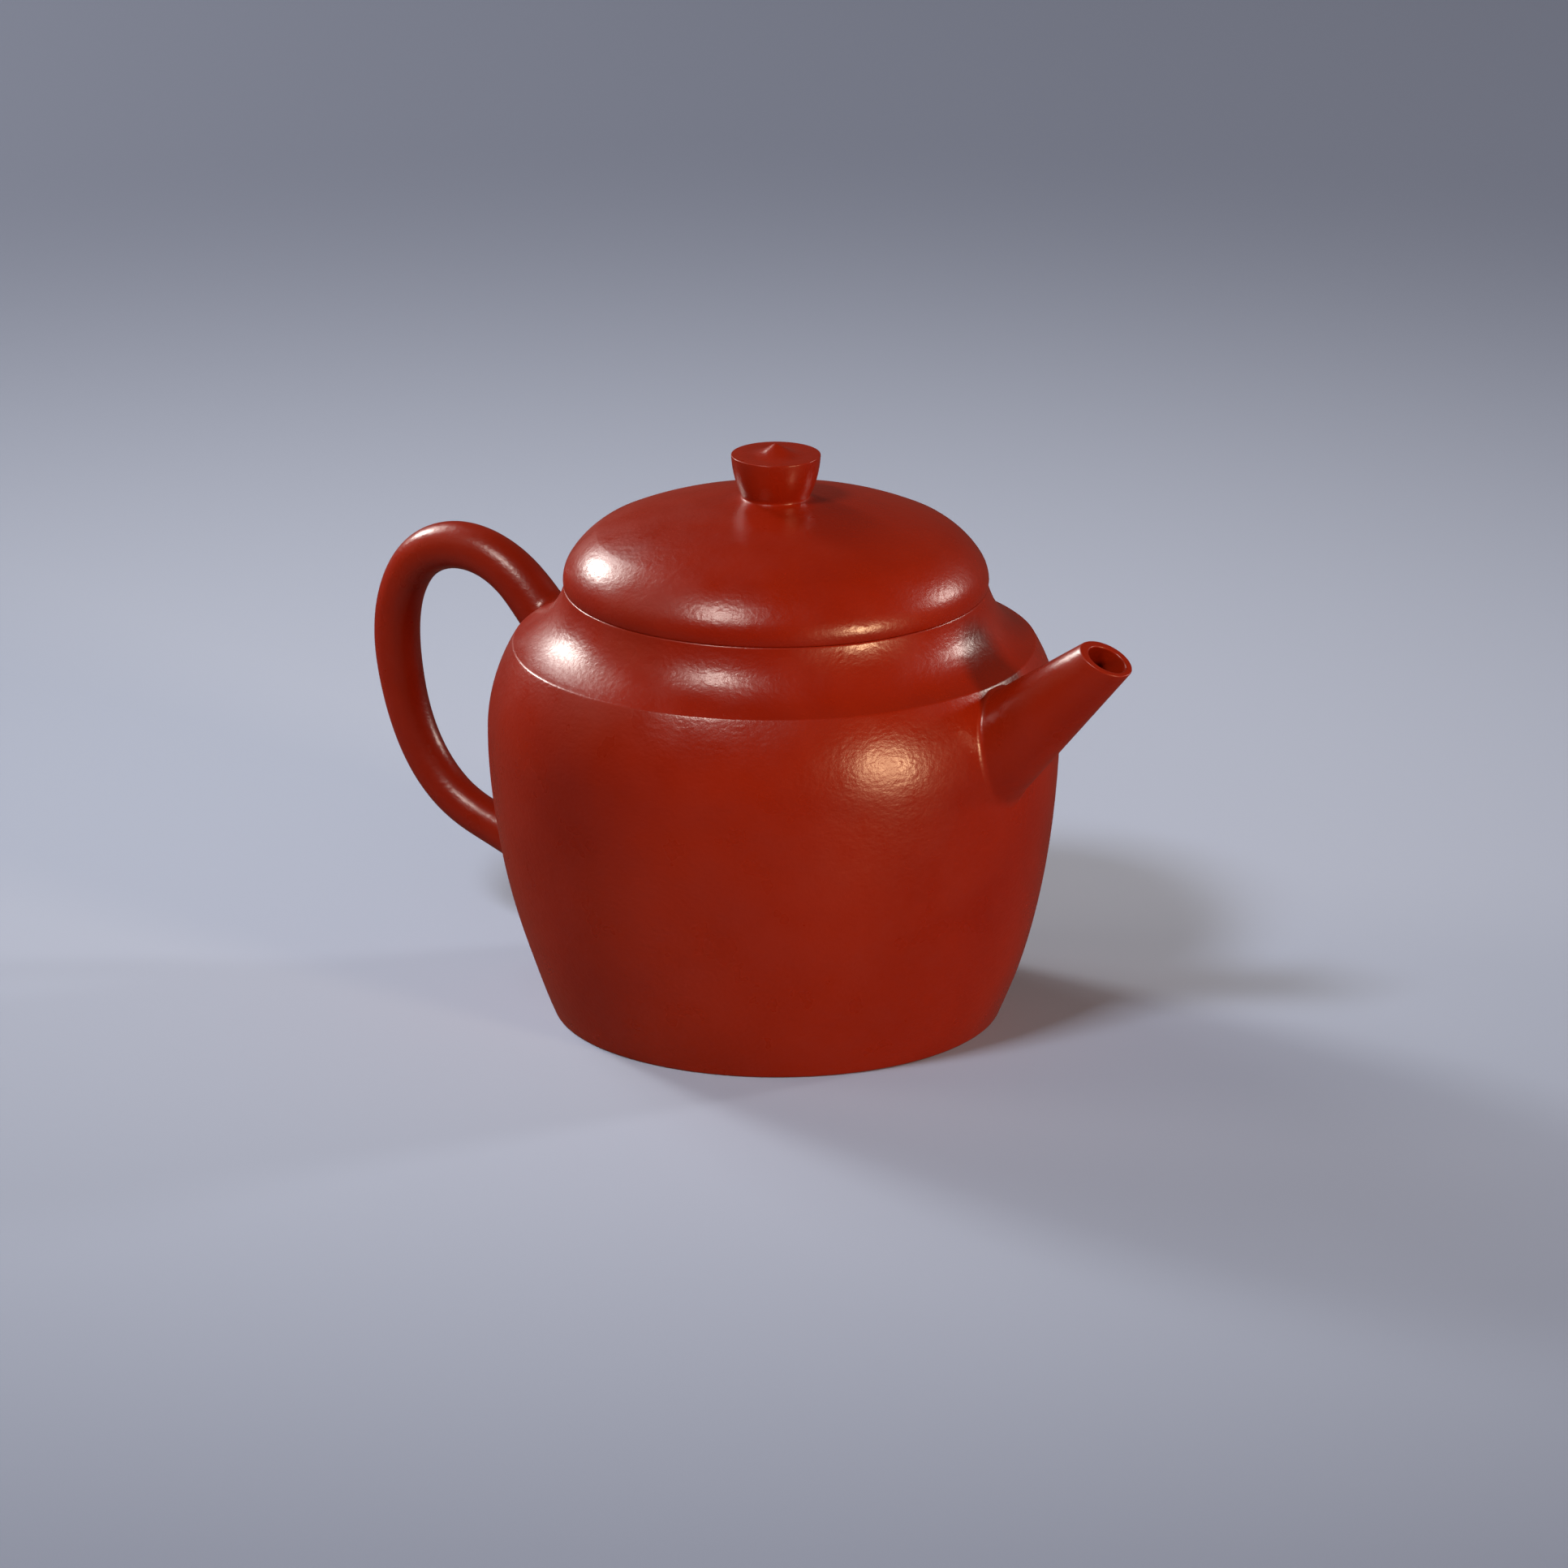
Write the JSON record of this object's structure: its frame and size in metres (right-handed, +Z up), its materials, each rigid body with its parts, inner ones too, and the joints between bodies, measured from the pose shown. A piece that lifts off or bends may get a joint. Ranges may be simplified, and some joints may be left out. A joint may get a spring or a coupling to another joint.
{
  "type": "clay teapot",
  "caption": "Round unglazed clay teapot with a barrel body, straight tapered spout, ear-shaped loop handle and a loose domed lid with a flared knob.",
  "frame": {"origin": "centre of the flat base, where the pot's axis meets the table", "axes": "+Z up along the pot's axis, +X towards the spout, with the handle towards -X"},
  "size_m": [0.1369, 0.0858, 0.0883],
  "materials": {
    "burnished_clay": "satin, burnished, unglazed",
    "plain_clay": "matt, unglazed"
  },
  "bodies": {
    "pot": {"base_disc": "burnished_clay", "body_wall": "burnished_clay", "shoulder_disc": "burnished_clay", "mouth_ring": "burnished_clay", "spout": "burnished_clay", "ball_strainer": "plain_clay", "handle": "burnished_clay"},
    "lid_flange": {"lid_flange": "plain_clay"},
    "lid": {"lid_seat_plate": "burnished_clay", "lid_dome": "burnished_clay", "knob": "burnished_clay"}
  },
  "joints": [
    {"name": "lid_lift", "type": "slide", "parent": "pot", "child": "lid_flange", "axis": [0, 0, 1], "range_m": [0, 0.06]},
    {"name": "lid_turn", "type": "hinge", "parent": "lid_flange", "child": "lid", "pos_m": [0, 0, 0.0663], "axis": [0, 0, 1], "continuous": true}
  ]
}
